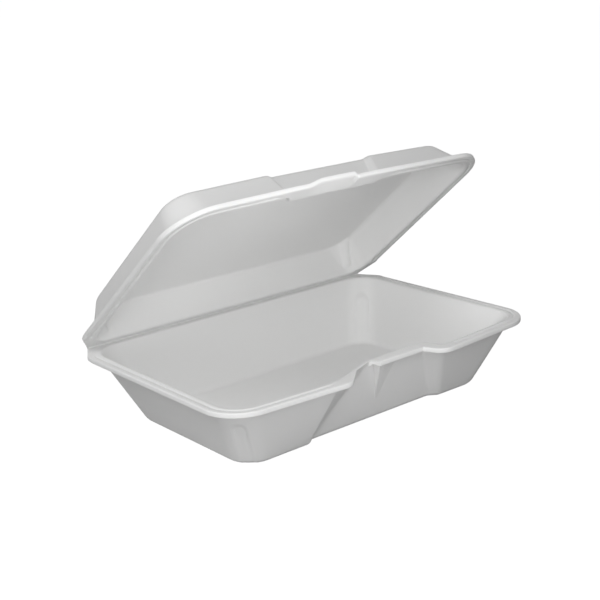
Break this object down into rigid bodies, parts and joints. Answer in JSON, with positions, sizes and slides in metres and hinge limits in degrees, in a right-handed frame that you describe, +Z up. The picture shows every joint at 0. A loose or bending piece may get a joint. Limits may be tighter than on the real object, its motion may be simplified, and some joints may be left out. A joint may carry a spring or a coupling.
{
  "type": "hinged foam food container",
  "caption": "Shallow one-compartment take-out box of white foam: flared tray with a recessed front and lock slot, and a lid with a lift tab on a perforated hinge.",
  "frame": {"origin": "centre of the tray's flat bottom face, on the surface that the container stands on", "axes": "+X along the hinge, towards the right seen from the front; +Y towards the hinge; +Z up"},
  "size_m": [0.236, 0.167, 0.1471],
  "materials": {
    "foam": "matt foam"
  },
  "bodies": {
    "tray": {"tray": "foam"},
    "lid": {"lid": "foam"}
  },
  "joints": [
    {"name": "lid_hinge", "type": "hinge", "parent": "tray", "child": "lid", "pos_m": [0, 0.0768, 0.04265], "axis": [-1, 0, 0], "range_deg": [-39.3, 140.7]}
  ]
}
